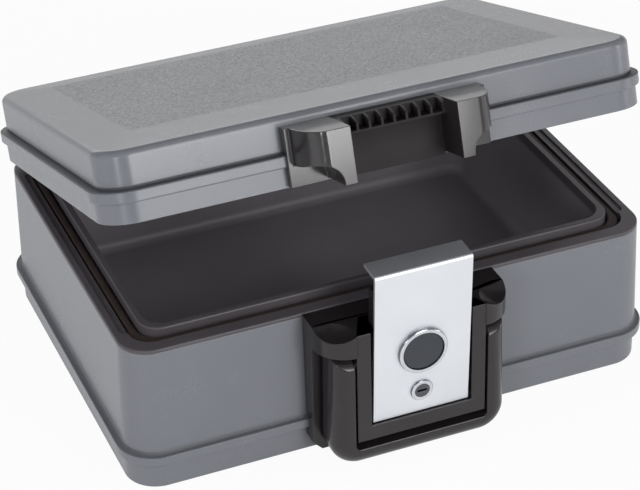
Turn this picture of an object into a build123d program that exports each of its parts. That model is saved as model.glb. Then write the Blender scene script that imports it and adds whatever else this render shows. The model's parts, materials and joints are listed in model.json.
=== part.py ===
"""Fire- and water-resistant document chest with a hinged lid, a bail handle and a keyed push-button latch.

Millimetres. +X is right, +Y is back, +Z is up. The origin is on the floor, under the middle of the case.
The lid is drawn closed and then swung open, and the latch flap is drawn shut and then released.
"""

from build123d import *
from math import asin, atan, degrees, hypot, radians, sin
import os

os.makedirs("parts", exist_ok=True)

# ---------------------------------------------------------------- driving sizes

# Case outline, shared by the base and the lid
rim_width = 350.0
rim_depth = 256.0
rim_corner = 20.0
inner_corner = 14.0
base_height = 101.0
lid_height = 44.0
seam_gap = 0.8
shell_wall = 2.5
fit_gap = 0.3
running_gap = 0.05
pin_chamfer = 0.4
quarter_turn = 90.0

# Base shell
body_flare = 2.0
base_belt_bottom = 19.0
base_belt_height = 6.5
base_belt_outset = 5.6
foot_band_outset = 1.4
foot_edge_radius = 1.2
floor_wall = 3.0
belt_edge_radius = 1.0
belt_cove_radius = 3.0

# Lid shell
lid_belt_bottom = 13.5
lid_belt_height = 7.5
lid_belt_outset = 4.7
belt_groove_depth = 1.0
belt_groove_height = 1.2
lid_skirt_step = 2.2
lid_shoulder_radius = 4.4
lid_top_wall = 3.0
lid_crown = 1.3
panel_side_border = 32.0
panel_front_border = 43.0
panel_back_border = 27.0
panel_corner = 4.0

# Liner rim, measured inwards from the rim outline
flange_thickness = 2.5
flange_edge_radius = 1.1
channel_start = 9.1
channel_end = 16.5
channel_depth = 7.0
lip_height = 3.0
lip_edge_radius = 1.2
tray_start = 20.9
liner_wall = 2.5
tray_floor = 24.5
tray_floor_radius = 7.0
side_recess_start = 4.6
side_recess_depth = 1.4
side_recess_end_margin = 24.0

# Seal, and the lid liner that closes on it
seal_width = 5.4
seal_height = 5.2
seal_edge_radius = 1.9
tongue_width = 3.0
tongue_clearance = 0.5
lid_liner_setback = 1.0
lid_liner_thickness = 5.2
lip_clearance = 0.8

# Rear hinges
hinge_spacing = 190.0
hinge_width = 50.0
hinge_setback = 6.0
hinge_rise = 1.0
hinge_pin_radius = 2.0
knuckle_radius = 4.5
knuckle_gap = 0.4
centre_knuckle = 17.2
leaf_thickness = 2.2
web_reach = 2.7
web_drop = 3.4
base_leaf_height = 24.0
lid_leaf_start = 3.5
lid_leaf_height = 8.6
lid_open_angle = 18.1
lid_full_angle = 95.0
heel_radius = 7.2
heel_thickness = 3.0
heel_gap = 0.3

# Front housing, measured forwards from the front of the rim
block_half = 63.7
block_depth = 13.5
block_bottom = 6.2
block_corner_cut = 6.0
housing_top_drop = 0.2
panel_half = 43.0
panel_stand = 36.0
panel_bottom = 21.4
ear_stand = 36.6
ear_height = 15.8
ear_corner = 21.0
dish_x = 57.5
dish_stand = 30.5
dish_radius = 15.5
dish_depth = 4.4

# Bail handle
arm_half = 58.8
arm_half_top = 57.3
arm_inner = 44.3
arm_back = 16.0
arm_front = 36.8
arm_round = 10.5
arm_head_rise = 9.3
arm_head_radius = 18.0
arm_head_stand = 22.5
arm_heel_radius = 4.0
bar_bottom = 3.0
bar_top = 16.2
handle_corner = 18.0
handle_inner_corner = 3.0
handle_pivot_stand = 28.5
handle_pivot_drop = 10.0
handle_pin_radius = 3.0
handle_pin_seat = 8.0
handle_pin_reach = 9.0

# Latch pocket in the housing
pocket_half = 33.6
pocket_bottom = 31.8
chamber_back = 5.0
chamber_front = 31.0
chamber_floor = 23.1
chamber_headroom = 1.0
deck_front = 17.5

# Latch flap, drawn shut
pivot_stand = 24.0
pivot_height = 27.0
pivot_pin_radius = 2.0
pivot_barrel_radius = 3.6
release_angle = 2.7
plate_half = 32.0
plate_bottom = 33.0
plate_top = 141.5
plate_back = 31.8
plate_thickness = 2.2
plate_bend_radius = 2.0
hook_back = 17.0
stud_radius = 1.5
stud_length = 5.5
stud_half_spacing = 24.0
lower_stud_height = 60.0
upper_stud_rise = 14.0
push_nut_radius = 3.2
push_nut_thickness = 0.8
carrier_half = 30.0
carrier_wall = 2.5
carrier_face = 3.0
carrier_back = 20.0
carrier_bottom = 34.5
carrier_top = 126.0
carrier_rib_rise = 1.0
stop_lug_height = 92.0
stop_lug_radius = 2.0
stop_lug_length = 5.4
stop_gap = 0.15
push_nut_grip = 0.05

# Push button
button_height = 80.0
button_radius = 13.6
button_slide_gap = 0.1
button_front = 35.6
button_thickness = 5.1
button_edge_radius = 1.3
bezel_outer = 16.2
bezel_front = 36.2
bezel_wall = 1.0
bezel_edge_radius = 0.9
plunger_radius = 4.0
clip_groove_depth = 0.6
plunger_gap = 0.3
guide_back = 21.0
guide_thickness = 2.0
guide_drop = 8.5
guide_rise = 6.9
clip_ring_radius = 6.5
clip_ring_thickness = 0.8
spring_wire = 0.5
spring_coil_radius = 7.0
spring_turns = 3.0

# Key lock
lock_height = 49.3
lock_body_radius = 6.9
lock_flange_radius = 7.4
lock_flange_thickness = 1.2
lock_flange_edge_radius = 0.5
lock_body_back = 13.6
plug_radius = 5.0
plug_inset = 0.2
plug_back = 11.5
lock_nut_radius = 10.0
lock_nut_thickness = 3.5
cam_thickness = 1.5
cam_reach = 18.0
cam_half_width = 4.0
cam_screw_head = 3.2
cam_screw_height = 1.4
keyway_length = 6.4
keyway_width = 1.5
keyway_depth = 6.0
cam_screw_radius = 1.5
cam_screw_length = 6.0

# Catch clip and flap spring, both of spring steel on the chamber's back wall
clip_half = 6.0
clip_thickness = 0.8
clip_front = 12.8
clip_tail_rise = 11.0
clip_arm_gap = 1.4
clip_foot_height = 10.6
barb_front = 23.0
barb_thickness = 1.0
barb_tip_thickness = 0.6
barb_height = 3.2
keeper_front = 21.6
keeper_thickness = 1.0
keeper_rise = 1.5
keeper_height = 5.1
leaf_x = 20.0
leaf_half = 4.5
leaf_foot_bottom = 50.0
leaf_foot_height = 9.0
leaf_tip_height = 76.0
leaf_spring_thickness = 0.6

# Lid bracket, heights measured up from the top of the base
bracket_half = 65.0
bracket_bottom = 1.4
bracket_back_thickness = 8.0
recess_back = 12.0
recess_hollow = 3.0
recess_hollow_radius = 46.0
bracket_top = 37.6
pillar_inner = 33.7
pillar_half = 61.8
pillar_stand = 36.8
pillar_flat_end = 47.5
pillar_bottom = 3.2
thumb_radius = 12.8
thumb_centre_x = 54.4
thumb_centre_height = 4.2
ledge_front = 21.2
ledge_bottom = 28.5
ledge_slope_start = 14.5
ledge_slope_drop = 2.6
ledge_floor = 1.8
ledge_pocket_count = 8
ledge_pocket_pitch = 7.9
ledge_rib_thickness = 1.8

# Screws
cross_length_share = 1.2
cross_width_share = 0.25
screw_radius = 2.0
screw_head_radius = 4.0
screw_head_height = 2.4
screw_length = 13.0
housing_screw_x = 50.0
housing_screw_drops = (61.0, 11.0)
bracket_screw_x = 50.0
bracket_screw_heights = (18.0, 33.0)
hinge_screw_radius = 1.6
hinge_screw_head = 3.2
hinge_screw_head_height = 1.6
hinge_screw_length = 8.0
hinge_screw_margin = 7.0
clip_screw_radius = 1.2
clip_screw_head = 2.4
clip_screw_head_height = 1.2
clip_screw_length = 4.0

# ---------------------------------------------------------------- positions worked out from them

front_rim = -rim_depth / 2
back_rim = rim_depth / 2
sides = (("left", -1), ("right", 1))

base_belt_top = base_belt_bottom + base_belt_height
liner_under = base_height - flange_thickness
channel_bottom = base_height - channel_depth
seal_start = (channel_start + channel_end - seal_width) / 2
lid_floor = base_height + seam_gap
lid_top = base_height + lid_height
lid_liner_floor = lid_floor + lid_liner_setback
lid_liner_roof = lid_liner_floor + lid_liner_thickness
housing_top = base_height - housing_top_drop

hinge_y = back_rim + hinge_setback
hinge_z = base_height + hinge_rise
hinge_axis = Axis((0, hinge_y, hinge_z), (1, 0, 0))
hinge_centres = (("left", -hinge_spacing / 2), ("right", hinge_spacing / 2))
leaf_back = back_rim + leaf_thickness
base_leaf_top = hinge_z - knuckle_radius
base_leaf_bottom = base_leaf_top - base_leaf_height
lid_leaf_bottom = hinge_z + lid_leaf_start

pivot_y = front_rim - pivot_stand
pivot_axis = Axis((0, pivot_y, pivot_height), (1, 0, 0))
plate_front = plate_back + plate_thickness
carrier_inner_face = plate_back - carrier_face
bezel_bore = button_radius + button_slide_gap
bezel_sleeve = bezel_bore + bezel_wall
button_back = button_front - button_thickness
lock_flange_front = plate_front + lock_flange_thickness
handle_pivot_height = housing_top - ear_height - handle_pivot_drop
handle_top = handle_pivot_height + arm_head_rise

# Works of the latch, stacked from the button
guide_bottom = button_height - guide_drop
guide_top = button_height + guide_rise
clip_tail = lock_height + clip_tail_rise
clip_arm_height = button_height + clip_ring_radius + clip_arm_gap
clip_top = clip_arm_height + clip_foot_height
keeper_bottom = clip_arm_height + keeper_rise
chamber_top = clip_top + chamber_headroom
carrier_rib_height = chamber_top + carrier_rib_rise
stud_heights = (lower_stud_height, carrier_rib_height + upper_stud_rise)


# ---------------------------------------------------------------- helpers


def front_plane(stand_off):
    """Plane that faces forwards, stand_off ahead of the front of the rim."""
    return Plane.XZ.offset(stand_off - front_rim)


def ahead(stand_off):
    """Y of a point that lies stand_off ahead of the front of the rim."""
    return front_rim - stand_off


def case_outline(inset=0.0, mode=Mode.ADD):
    """Rounded rectangle parallel to the rim, inset from it."""
    corner = max(rim_corner - inset, inner_corner)
    return RectangleRounded(rim_width - 2 * inset, rim_depth - 2 * inset, corner, mode=mode)


def stepped_outline(step, grow=0.0, mode=Mode.ADD):
    """Rim outline that steps out at the front and sides but not at the back, grown all round."""
    width = rim_width + 2 * (step + grow)
    depth = rim_depth + step + 2 * grow
    with Locations((0, -step / 2)):
        return RectangleRounded(width, depth, rim_corner + step + grow, mode=mode)


def span(low_x, high_x, low_y, high_y, mode=Mode.ADD):
    """Rectangle between two corners of the sketch plane."""
    with Locations(((low_x + high_x) / 2, (low_y + high_y) / 2)):
        return Rectangle(high_x - low_x, high_y - low_y, mode=mode)


def belt_solid(outset, bottom, height):
    """Rounded belt that runs round the case."""
    with BuildPart() as belt:
        with BuildSketch(Plane.XY.offset(bottom)):
            case_outline(-outset)
        extrude(amount=height)
        fillet(belt.edges().filter_by(Plane.XY), belt_edge_radius)
    return belt.part


def rods(planes, radius, depth):
    """Round rods that run from each plane against its normal, for shanks and their holes."""
    with BuildPart() as group:
        for plane in planes:
            with BuildSketch(plane):
                Circle(radius)
        extrude(amount=-depth)
    return group.part


def screws(planes, shank_radius, head_radius, head_height, length):
    """Cross-recessed screws whose heads stand on the planes."""
    with BuildPart() as group:
        for plane in planes:
            with BuildSketch(plane):
                Circle(head_radius)
            extrude(amount=head_height)
            with BuildSketch(plane):
                Circle(shank_radius)
            extrude(amount=-length)
            with BuildSketch(plane.offset(head_height)):
                Rectangle(head_radius * cross_length_share, head_radius * cross_width_share)
                Rectangle(head_radius * cross_width_share, head_radius * cross_length_share)
            extrude(amount=-head_height / 2, mode=Mode.SUBTRACT)
    return group


def swing_open(piece):
    """Swings a finished lid piece from closed to its resting, half-open angle."""
    piece.part = piece.part.rotate(hinge_axis, -lid_open_angle)


def release(piece):
    """Tips a finished flap piece from shut to its released rest."""
    piece.part = piece.part.rotate(pivot_axis, release_angle)


def save(piece, name):
    """Names a finished piece and writes it to its own file."""
    piece.part.label = name
    export_step(piece.part, f"parts/{name}.step")


# ---------------------------------------------------------------- screw places

# The housing and the lid bracket are held from inside the shells
housing_screw_planes = [
    Plane(
        origin=(side * housing_screw_x, front_rim + shell_wall, base_height - drop),
        x_dir=(-1, 0, 0),
        z_dir=(0, 1, 0),
    )
    for _, side in sides
    for drop in housing_screw_drops
]
bracket_screw_planes = [
    Plane(
        origin=(side * bracket_screw_x, front_rim + shell_wall, base_height + height),
        x_dir=(-1, 0, 0),
        z_dir=(0, 1, 0),
    )
    for _, side in sides
    for height in bracket_screw_heights
]

# The hinge leaves are held from behind, three screws below the seam and two above it
hinge_screw_reach = hinge_width / 2 - hinge_screw_margin
base_leaf_screw_places = (
    (-hinge_screw_reach, base_leaf_bottom + hinge_screw_margin),
    (hinge_screw_reach, base_leaf_bottom + hinge_screw_margin),
    (0.0, base_leaf_bottom + base_leaf_height / 2),
)
base_hinge_screw_planes = [
    Plane(origin=(centre + across, leaf_back, height), x_dir=(-1, 0, 0), z_dir=(0, 1, 0))
    for _, centre in hinge_centres
    for across, height in base_leaf_screw_places
]
lid_hinge_screw_planes = [
    Plane(
        origin=(centre + side * hinge_screw_reach, leaf_back, lid_leaf_bottom + lid_leaf_height / 2),
        x_dir=(-1, 0, 0),
        z_dir=(0, 1, 0),
    )
    for _, centre in hinge_centres
    for _, side in sides
]

# The catch clip and the flap spring are held to the chamber's back wall
clip_screw_height = (clip_arm_height + clip_thickness + clip_top) / 2
leaf_screw_height = leaf_foot_bottom + leaf_foot_height / 2
latch_spring_screw_planes = [
    Plane(origin=(0, ahead(chamber_back + clip_thickness), clip_screw_height), z_dir=(0, -1, 0)),
    Plane(origin=(leaf_x, ahead(chamber_back + leaf_spring_thickness), leaf_screw_height), z_dir=(0, -1, 0)),
]

housing_screw_holes = rods(housing_screw_planes, screw_radius + running_gap, screw_length + fit_gap)
bracket_screw_holes = rods(bracket_screw_planes, screw_radius + running_gap, screw_length + fit_gap)
base_hinge_screw_holes = rods(
    base_hinge_screw_planes, hinge_screw_radius + running_gap, hinge_screw_length + fit_gap
)
lid_hinge_screw_holes = rods(
    lid_hinge_screw_planes, hinge_screw_radius + running_gap, hinge_screw_length + fit_gap
)
latch_spring_screw_holes = rods(
    latch_spring_screw_planes, clip_screw_radius + running_gap, clip_screw_length + fit_gap
)

# ---------------------------------------------------------------- base shell

with BuildPart() as base_shell:
    # Foot band, then the wall, which flares to the front and sides and is upright at the back
    with BuildSketch(Plane.XY):
        case_outline(-foot_band_outset)
    extrude(amount=base_belt_bottom)
    fillet(base_shell.faces().sort_by(Axis.Z)[0].edges(), foot_edge_radius)
    with BuildSketch(Plane.XY.offset(base_belt_top)):
        stepped_outline(body_flare)
    with BuildSketch(Plane.XY.offset(liner_under)):
        case_outline()
    loft()
    add(belt_solid(base_belt_outset, base_belt_bottom, base_belt_height))
    # Cove where the wall runs out onto the belt
    wall_foot = [
        edge
        for edge in base_shell.edges().filter_by(Plane.XY)
        if abs(edge.center().Z - base_belt_top) < fit_gap
        and abs(edge.center().X) < rim_width / 2 + body_flare + fit_gap
        and front_rim - body_flare - fit_gap < edge.center().Y < back_rim + fit_gap
    ]
    fillet(wall_foot, belt_cove_radius)
    # Hollow for the insulation, and screw holes
    with BuildSketch(Plane.XY.offset(floor_wall)):
        case_outline(shell_wall)
    extrude(amount=liner_under - floor_wall, mode=Mode.SUBTRACT)
    add(housing_screw_holes, mode=Mode.SUBTRACT)
    add(base_hinge_screw_holes, mode=Mode.SUBTRACT)
save(base_shell, "base_shell")

# ---------------------------------------------------------------- base liner, seal and insulation

with BuildPart() as tray_hollow:
    with BuildSketch(Plane.XY.offset(tray_floor)):
        case_outline(tray_start)
    extrude(amount=base_height + lip_height - tray_floor + fit_gap)
    fillet(tray_hollow.faces().sort_by(Axis.Z)[0].edges(), tray_floor_radius)

with BuildPart() as base_liner:
    # Flange over the shell's edge, channel block, raised lip and tub
    with BuildSketch(Plane.XY.offset(liner_under)):
        case_outline()
    extrude(amount=flange_thickness)
    fillet(base_liner.faces().sort_by(Axis.Z)[-1].edges(), flange_edge_radius)
    with BuildSketch(Plane.XY.offset(channel_bottom - liner_wall)):
        case_outline(channel_start - liner_wall)
    extrude(amount=channel_depth + liner_wall)
    with BuildSketch(Plane.XY.offset(base_height)):
        case_outline(channel_end)
    extrude(amount=lip_height)
    fillet(base_liner.faces().sort_by(Axis.Z)[-1].edges(), lip_edge_radius)
    with BuildSketch(Plane.XY.offset(tray_floor - liner_wall)):
        case_outline(tray_start - liner_wall)
    extrude(amount=base_height - tray_floor + liner_wall)
    fillet(base_liner.faces().sort_by(Axis.Z)[0].edges(), tray_floor_radius)
    # Seal channel round the lip
    with BuildSketch(Plane.XY.offset(channel_bottom)):
        case_outline(channel_start)
        case_outline(channel_end, mode=Mode.SUBTRACT)
    extrude(amount=channel_depth, mode=Mode.SUBTRACT)
    # Shallow recess along each side, open to the channel
    side_recess_width = 2 * (channel_start - side_recess_start)
    side_recess_length = rim_depth - 2 * side_recess_end_margin
    for _, side in sides:
        with BuildSketch(Plane.XY.offset(base_height - side_recess_depth)):
            with Locations((side * (rim_width / 2 - channel_start), 0)):
                SlotOverall(side_recess_length, side_recess_width, rotation=90)
            case_outline(channel_start + fit_gap, mode=Mode.SUBTRACT)
        extrude(amount=side_recess_depth, mode=Mode.SUBTRACT)
    add(tray_hollow.part, mode=Mode.SUBTRACT)
save(base_liner, "base_liner")

with BuildPart() as rim_seal:
    with BuildSketch(Plane.XY.offset(channel_bottom)):
        case_outline(seal_start)
        case_outline(seal_start + seal_width, mode=Mode.SUBTRACT)
    extrude(amount=seal_height)
    fillet(rim_seal.faces().sort_by(Axis.Z)[-1].edges(), seal_edge_radius)
save(rim_seal, "rim_seal")

with BuildPart() as base_insulation:
    with BuildSketch(Plane.XY.offset(floor_wall)):
        case_outline(shell_wall + fit_gap)
    extrude(amount=liner_under - fit_gap - floor_wall)
    # Room for the channel block and for the tub, which stands on the insulation
    with BuildSketch(Plane.XY.offset(channel_bottom - liner_wall - fit_gap)):
        case_outline(channel_start - liner_wall - fit_gap)
    extrude(amount=channel_depth + liner_wall, mode=Mode.SUBTRACT)
    with BuildSketch(Plane.XY.offset(tray_floor - liner_wall)):
        case_outline(tray_start - liner_wall - fit_gap)
    extrude(amount=base_height - tray_floor, mode=Mode.SUBTRACT)
    # Pockets for the housing's screw heads and the hinge screws' points
    for plane in housing_screw_planes:
        with BuildSketch(plane):
            Circle(screw_head_radius + fit_gap)
    extrude(amount=screw_head_height + fit_gap, mode=Mode.SUBTRACT)
    for plane in base_hinge_screw_planes:
        with BuildSketch(plane):
            Circle(hinge_screw_radius + fit_gap)
    extrude(amount=-hinge_screw_length - fit_gap, mode=Mode.SUBTRACT)
save(base_insulation, "base_insulation")

# ---------------------------------------------------------------- latch housing on the base

# Outside of the base's front, grown by the fit, which the housing's back follows
with BuildPart() as base_front:
    with BuildSketch(Plane.XY):
        case_outline(-foot_band_outset - fit_gap)
    extrude(amount=base_belt_bottom)
    with BuildSketch(Plane.XY.offset(base_belt_bottom - fit_gap)):
        case_outline(-base_belt_outset - fit_gap)
    extrude(amount=base_belt_height + belt_cove_radius + 2 * fit_gap)
    with BuildSketch(Plane.XY.offset(base_belt_top)):
        stepped_outline(body_flare, fit_gap)
    with BuildSketch(Plane.XY.offset(base_height)):
        case_outline(-fit_gap)
    loft()

with BuildPart() as latch_housing:
    # Back block with its lower corners cut
    with BuildSketch(front_plane(0)):
        block = span(-block_half, block_half, block_bottom, housing_top)
        chamfer(block.vertices().group_by(Axis.Y)[0], block_corner_cut)
    extrude(amount=block_depth)
    # Panel that the latch pocket is cut into
    with BuildSketch(front_plane(block_depth)):
        span(-panel_half, panel_half, panel_bottom, housing_top)
    extrude(amount=panel_stand - block_depth)
    # Ears over the handle's arms, rounded off in plan
    ear_inner = block_half - ear_corner - fit_gap
    for _, side in sides:
        with BuildSketch(Plane.XY.offset(housing_top - ear_height)):
            ear = span(side * ear_inner, side * block_half, ahead(ear_stand), ahead(block_depth - fit_gap))
            outer = ear.vertices().sort_by(Axis.Y)[:2].sort_by(Axis.X)[-1 if side > 0 else 0]
            fillet(outer, ear_corner)
        extrude(amount=ear_height)
    # Pocket for the flap, with a chamber for the latch works behind it
    with BuildSketch(front_plane(deck_front)):
        span(-pocket_half, pocket_half, pocket_bottom, housing_top)
    extrude(amount=panel_stand - deck_front, mode=Mode.SUBTRACT)
    with BuildSketch(front_plane(chamber_back)):
        span(-pocket_half, pocket_half, chamber_floor, chamber_top)
    extrude(amount=chamber_front - chamber_back, mode=Mode.SUBTRACT)
    # Slots that stop the flap's lugs at shut and at released
    lug_travel = (stop_lug_height - pivot_height) * sin(radians(release_angle))
    for _, side in sides:
        with BuildSketch(Plane.YZ.offset(side * pocket_half)):
            span(
                ahead(pivot_stand + stop_lug_radius + lug_travel + stop_gap),
                ahead(pivot_stand - stop_lug_radius - stop_gap),
                stop_lug_height - stop_lug_radius - 2 * fit_gap,
                stop_lug_height + stop_lug_radius + 2 * fit_gap,
            )
        extrude(amount=side * (stop_lug_length + fit_gap + carrier_half - pocket_half), mode=Mode.SUBTRACT)
    # Seats of the flap's pin and the handle's pins
    with BuildSketch(Plane.YZ):
        with Locations((pivot_y, pivot_height)):
            Circle(pivot_pin_radius + running_gap)
    extrude(amount=panel_half, both=True, mode=Mode.SUBTRACT)
    for _, side in sides:
        with BuildSketch(Plane.YZ.offset(side * panel_half)):
            with Locations((ahead(handle_pivot_stand), handle_pivot_height)):
                Circle(handle_pin_radius + running_gap)
        extrude(amount=-side * (handle_pin_seat + running_gap), mode=Mode.SUBTRACT)
    add(base_front.part, mode=Mode.SUBTRACT)
    add(housing_screw_holes, mode=Mode.SUBTRACT)
    add(latch_spring_screw_holes, mode=Mode.SUBTRACT)
    # Finger dishes on top, scooped from the ears' outer edges
    dish_sphere = (dish_radius**2 + dish_depth**2) / (2 * dish_depth)
    for _, side in sides:
        with Locations((side * dish_x, ahead(dish_stand), housing_top + dish_sphere - dish_depth)):
            Sphere(dish_sphere, rotation=(quarter_turn, 0, 0), mode=Mode.SUBTRACT)
save(latch_housing, "latch_housing")

housing_screws = screws(
    housing_screw_planes, screw_radius, screw_head_radius, screw_head_height, screw_length
)
save(housing_screws, "housing_screws")

# ---------------------------------------------------------------- bail handle

with BuildPart() as bail_handle:
    # U shape, seen from the front, that widens a little downwards
    with BuildSketch(front_plane(arm_back)) as frame:
        with BuildLine():
            Polyline(
                (-arm_half_top, handle_top),
                (-arm_half, bar_bottom),
                (arm_half, bar_bottom),
                (arm_half_top, handle_top),
                close=True,
            )
        make_face()
        fillet(frame.vertices().group_by(Axis.Y)[0], handle_corner)
        with Locations((0, (bar_top + handle_top + handle_corner) / 2)):
            RectangleRounded(
                2 * arm_inner,
                handle_top + handle_corner - bar_top,
                handle_inner_corner,
                mode=Mode.SUBTRACT,
            )
    extrude(amount=arm_front - arm_back)
    # Thick rounding all round the outer front edge
    front_edges = bail_handle.faces().sort_by(Axis.Y)[0].edges()
    outer_front = [
        edge
        for edge in front_edges
        if abs(edge.center().X) > arm_inner + 1 and edge.center().Z < handle_pivot_height + 1
        or edge.center().Z < bar_bottom + 1
    ]
    fillet(outer_front, arm_round)
    # Upper ends domed with a crisp edge, and rounded behind where they swing past the block
    arm_head_centre = handle_top - arm_head_radius
    with BuildSketch(Plane.YZ) as arm_side:
        with Locations((ahead(arm_head_stand), arm_head_centre)):
            Circle(arm_head_radius)
        span(ahead(arm_front), ahead(arm_back), bar_bottom, handle_top, mode=Mode.INTERSECT)
        span(ahead(arm_front), ahead(arm_back), bar_bottom, arm_head_centre)
        fillet(arm_side.vertices().sort_by(Axis.Y)[-1], arm_heel_radius)
    extrude(amount=arm_half, both=True, mode=Mode.INTERSECT)
    # Blind bores for the pins
    for _, side in sides:
        with BuildSketch(Plane.YZ.offset(side * arm_inner)):
            with Locations((ahead(handle_pivot_stand), handle_pivot_height)):
                Circle(handle_pin_radius + running_gap)
        extrude(amount=side * (handle_pin_reach + fit_gap), mode=Mode.SUBTRACT)
save(bail_handle, "bail_handle")

for name, side in sides:
    with BuildPart() as handle_pin:
        with BuildSketch(Plane.YZ.offset(side * (panel_half - handle_pin_seat))):
            with Locations((ahead(handle_pivot_stand), handle_pivot_height)):
                Circle(handle_pin_radius)
        extrude(amount=side * (handle_pin_seat + arm_inner - panel_half + handle_pin_reach))
        chamfer(handle_pin.edges(), pin_chamfer)
    save(handle_pin, f"handle_pin_{name}")

# ---------------------------------------------------------------- catch clip and flap spring

with BuildPart() as catch_clip:
    # Foot on the chamber wall, strip down to the tail, and an arm whose barb stands ahead of the keeper
    with BuildSketch(Plane.YZ):
        span(ahead(chamber_back + clip_thickness), ahead(chamber_back), clip_arm_height, clip_top)
        span(ahead(barb_front), ahead(chamber_back), clip_arm_height, clip_arm_height + clip_thickness)
        span(
            ahead(clip_front),
            ahead(clip_front - clip_thickness),
            clip_tail,
            clip_arm_height + clip_thickness,
        )
        with BuildLine():
            Polyline(
                (ahead(barb_front), clip_arm_height),
                (ahead(barb_front), clip_arm_height + clip_thickness),
                (ahead(barb_front - barb_thickness + barb_tip_thickness), clip_arm_height + barb_height),
                (ahead(barb_front - barb_thickness), clip_arm_height + barb_height),
                (ahead(barb_front - barb_thickness), clip_arm_height),
                close=True,
            )
        make_face()
    extrude(amount=clip_half, both=True)
    add(latch_spring_screw_holes, mode=Mode.SUBTRACT)
save(catch_clip, "catch_clip")

leaf_rest_face = guide_back + (leaf_tip_height - pivot_height) * sin(radians(release_angle)) - fit_gap
with BuildPart() as flap_spring:
    # Foot on the chamber wall and a sprung arm that bears on the carrier's guide
    leaf_foot_top = leaf_foot_bottom + leaf_foot_height
    with BuildSketch(Plane.YZ.offset(leaf_x)):
        with BuildLine():
            Polyline(
                (ahead(chamber_back), leaf_foot_bottom),
                (ahead(chamber_back), leaf_foot_top),
                (ahead(leaf_rest_face - leaf_spring_thickness), leaf_tip_height),
                (ahead(leaf_rest_face - leaf_spring_thickness), leaf_tip_height + leaf_half),
                (ahead(leaf_rest_face), leaf_tip_height + leaf_half),
                (ahead(leaf_rest_face), leaf_tip_height),
                (ahead(chamber_back + leaf_spring_thickness), leaf_foot_top - leaf_spring_thickness),
                (ahead(chamber_back + leaf_spring_thickness), leaf_foot_bottom),
                close=True,
            )
        make_face()
    extrude(amount=leaf_half, both=True)
    add(latch_spring_screw_holes, mode=Mode.SUBTRACT)
save(flap_spring, "flap_spring")


latch_spring_screws = screws(
    latch_spring_screw_planes, clip_screw_radius, clip_screw_head, clip_screw_head_height, clip_screw_length
)
save(latch_spring_screws, "latch_spring_screws")

# ---------------------------------------------------------------- latch flap

with BuildPart() as latch_plate:
    # Face plate whose top edge is bent back into the hook that holds the lid down
    with BuildSketch(Plane.YZ):
        span(ahead(plate_front), ahead(plate_back), plate_bottom, plate_top)
        span(ahead(plate_front), ahead(hook_back), plate_top - plate_thickness, plate_top)
    extrude(amount=plate_half, both=True)
    front_top_edge = latch_plate.edges().filter_by(Axis.X).group_by(Axis.Z)[-1].sort_by(Axis.Y)[0]
    fillet(front_top_edge, plate_bend_radius)
    for height, bore in (
        (button_height, bezel_sleeve + running_gap),
        (lock_height, lock_body_radius + running_gap),
    ):
        with BuildSketch(front_plane(plate_back)):
            with Locations((0, height)):
                Circle(bore)
        extrude(amount=plate_thickness, mode=Mode.SUBTRACT)
    # Studs that reach back through the carrier
    with BuildSketch(front_plane(plate_back)):
        for _, side in sides:
            for height in stud_heights:
                with Locations((side * stud_half_spacing, height)):
                    Circle(stud_radius)
    extrude(amount=-stud_length)
release(latch_plate)
save(latch_plate, "latch_plate")

with BuildPart() as latch_carrier:
    # Tray-shaped frame behind the plate, with side walls, a top wall and a rib
    carrier_inner_half = carrier_half - carrier_wall
    with BuildSketch(front_plane(carrier_inner_face)):
        span(-carrier_half, carrier_half, carrier_bottom, carrier_top)
        for height, bore in (
            (button_height, bezel_sleeve + running_gap),
            (lock_height, lock_body_radius + running_gap),
        ):
            with Locations((0, height)):
                Circle(bore, mode=Mode.SUBTRACT)
        for _, side in sides:
            for height in stud_heights:
                with Locations((side * stud_half_spacing, height)):
                    Circle(stud_radius + push_nut_grip, mode=Mode.SUBTRACT)
    extrude(amount=carrier_face)
    with BuildSketch(front_plane(carrier_back)):
        span(-carrier_half, carrier_half, carrier_top - carrier_wall, carrier_top)
        span(-carrier_half, carrier_half, carrier_rib_height, carrier_rib_height + carrier_wall)
        for _, side in sides:
            span(side * carrier_inner_half, side * carrier_half, carrier_bottom, carrier_top)
    extrude(amount=plate_back - carrier_back)
    # Bridge that guides the button's stem, and the keeper bar that the clip catches
    with BuildSketch(front_plane(guide_back)):
        span(-carrier_inner_half, carrier_inner_half, guide_bottom, guide_top)
        with Locations((0, button_height)):
            Circle(plunger_radius + running_gap, mode=Mode.SUBTRACT)
    extrude(amount=guide_thickness)
    with BuildSketch(front_plane(keeper_front)):
        span(-carrier_inner_half, carrier_inner_half, keeper_bottom, keeper_bottom + keeper_height)
    extrude(amount=-keeper_thickness)
    # Arms down to the pivot, and lugs that stop the swing
    for _, side in sides:
        with BuildSketch(Plane.YZ.offset(side * carrier_inner_half)):
            with Locations((pivot_y, pivot_height)):
                Circle(pivot_barrel_radius)
            span(
                ahead(pivot_stand + pivot_barrel_radius),
                ahead(pivot_stand - pivot_barrel_radius),
                pivot_height,
                carrier_bottom,
            )
            with Locations((pivot_y, pivot_height)):
                Circle(pivot_pin_radius + running_gap, mode=Mode.SUBTRACT)
        extrude(amount=side * carrier_wall)
        with BuildSketch(Plane.YZ.offset(side * carrier_inner_half)):
            with Locations((pivot_y, stop_lug_height)):
                Circle(stop_lug_radius)
        extrude(amount=side * (carrier_wall + stop_lug_length))
release(latch_carrier)
save(latch_carrier, "latch_carrier")

with BuildPart() as plate_push_nuts:
    with BuildSketch(front_plane(carrier_inner_face)):
        for _, side in sides:
            for height in stud_heights:
                with Locations((side * stud_half_spacing, height)):
                    Circle(push_nut_radius)
                    Circle(stud_radius + push_nut_grip, mode=Mode.SUBTRACT)
    extrude(amount=-push_nut_thickness)
release(plate_push_nuts)
save(plate_push_nuts, "plate_push_nuts")

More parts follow.
